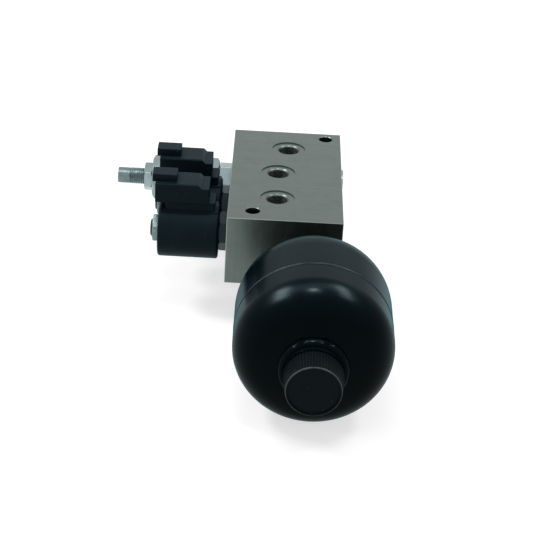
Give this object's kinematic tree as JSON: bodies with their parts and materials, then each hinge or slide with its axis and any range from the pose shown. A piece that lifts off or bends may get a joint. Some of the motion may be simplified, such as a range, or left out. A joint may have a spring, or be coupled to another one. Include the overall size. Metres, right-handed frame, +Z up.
{
  "type": "hydraulic pilot valve block",
  "caption": "Ported steel manifold block with solenoid cartridge valves, an adjustable relief valve and a black diaphragm accumulator that supplies pilot pressure",
  "frame": {"origin": "the middle of the block's bottom mounting face", "axes": "+Z up out of the face with the three line ports, +Y along the block away from the accumulator, valves on the -X face"},
  "size_m": [0.2222, 0.3498, 0.1163],
  "materials": {
    "block": "milled, nickel plated, satin",
    "zinc": "bright zinc plated",
    "dark_steel": "dark plated steel",
    "bright_steel": "ground steel",
    "spring_steel": "drawn wire",
    "moulding": "black glass filled moulding, satin",
    "nylon": "natural nylon",
    "copper": "enamelled copper wire",
    "tin": "tin plated contacts",
    "seal": "black nitrile",
    "diaphragm": "black nitrile, moulded",
    "black_paint": "gloss black paint on steel",
    "cap_plastic": "black ribbed moulding, satin"
  },
  "bodies": {
    "valve_block": {"manifold_block": "block", "check_plug": "zinc", "check_spring": "spring_steel", "relief_cartridge": "zinc", "relief_outer_seal": "seal", "relief_inner_seal": "seal", "relief_spring": "spring_steel", "relief_housing": "zinc", "accumulator_stem": "black_paint", "accumulator_stem_seal": "seal", "accumulator_fluid_shell": "black_paint", "accumulator_gas_shell": "black_paint", "diaphragm_clamp_ring": "bright_steel", "accumulator_diaphragm": "diaphragm", "gas_boss": "black_paint", "charging_screw_seal": "seal", "charging_screw": "zinc", "front_cartridge": "dark_steel", "front_outer_seal": "seal", "front_inner_seal": "seal", "front_guide_tube": "dark_steel", "front_pole_piece": "bright_steel", "front_return_spring": "spring_steel", "front_coil": "moulding", "front_coil_bobbin": "nylon", "front_coil_winding": "copper", "front_flux_sleeve": "bright_steel", "front_near_pin": "tin", "front_far_pin": "tin", "front_coil_nut": "zinc", "rear_cartridge": "dark_steel", "rear_outer_seal": "seal", "rear_inner_seal": "seal", "rear_guide_tube": "dark_steel", "rear_pole_piece": "bright_steel", "rear_return_spring": "spring_steel", "rear_coil": "moulding", "rear_coil_bobbin": "nylon", "rear_coil_winding": "copper", "rear_flux_sleeve": "bright_steel", "rear_near_pin": "tin", "rear_far_pin": "tin", "rear_coil_nut": "zinc"},
    "front_core": {"front_armature": "bright_steel", "front_push_pin": "bright_steel", "front_spool": "bright_steel"},
    "rear_core": {"rear_armature": "bright_steel", "rear_push_pin": "bright_steel", "rear_spool": "bright_steel"},
    "relief_poppet_body": {"relief_poppet": "bright_steel"},
    "spring_seat_body": {"relief_spring_seat": "bright_steel"},
    "adjuster_body": {"adjusting_screw": "zinc"},
    "jam_nut_body": {"jam_nut": "zinc"},
    "cap_body": {"protective_cap": "cap_plastic"},
    "button_body": {"diaphragm_button": "bright_steel"},
    "check_poppet_body": {"check_poppet": "bright_steel"}
  },
  "joints": [
    {"name": "front_spool_slide", "type": "slide", "parent": "valve_block", "child": "front_core", "axis": [1, 0, 0], "range_m": [0, 0.0025], "stiffness_N_per_m": 3000, "springref_m": -0.003, "deforming": ["front_return_spring"]},
    {"name": "rear_spool_slide", "type": "slide", "parent": "valve_block", "child": "rear_core", "axis": [1, 0, 0], "range_m": [0, 0.0025], "stiffness_N_per_m": 3000, "springref_m": -0.003, "deforming": ["rear_return_spring"]},
    {"name": "relief_poppet_slide", "type": "slide", "parent": "valve_block", "child": "relief_poppet_body", "axis": [-1, 0, 0], "range_m": [0, 0.0015], "stiffness_N_per_m": 20000, "springref_m": -0.004, "deforming": ["relief_spring"]},
    {"name": "spring_seat_slide", "type": "slide", "parent": "valve_block", "child": "spring_seat_body", "axis": [1, 0, 0], "range_m": [-0.003, 0.003], "deforming": ["relief_spring"]},
    {"name": "adjuster_turn", "type": "hinge", "parent": "spring_seat_body", "child": "adjuster_body", "pos_m": [-0.12, 0.0417, 0.0284], "axis": [1, 0, 0], "range_deg": [-720, 720]},
    {"name": "jam_nut_turn", "type": "hinge", "parent": "valve_block", "child": "jam_nut_body", "pos_m": [-0.1151, 0.0417, 0.0284], "axis": [-1, 0, 0], "range_deg": [0, 360]},
    {"name": "cap_slide", "type": "slide", "parent": "valve_block", "child": "cap_body", "axis": [0, -1, 0], "range_m": [0, 0.025]},
    {"name": "button_slide", "type": "slide", "parent": "valve_block", "child": "button_body", "axis": [0, -1, 0], "range_m": [0, 0.055], "stiffness_N_per_m": 1500, "springref_m": -0.02, "deforming": ["accumulator_diaphragm"]},
    {"name": "check_poppet_slide", "type": "slide", "parent": "valve_block", "child": "check_poppet_body", "axis": [1, 0, 0], "range_m": [0, 0.002], "stiffness_N_per_m": 2000, "springref_m": -0.003, "deforming": ["check_spring"]}
  ],
  "couplings": [
    {"joint": "adjuster_turn", "follows": "spring_seat_slide", "rad_per_m": 4188.8}
  ]
}
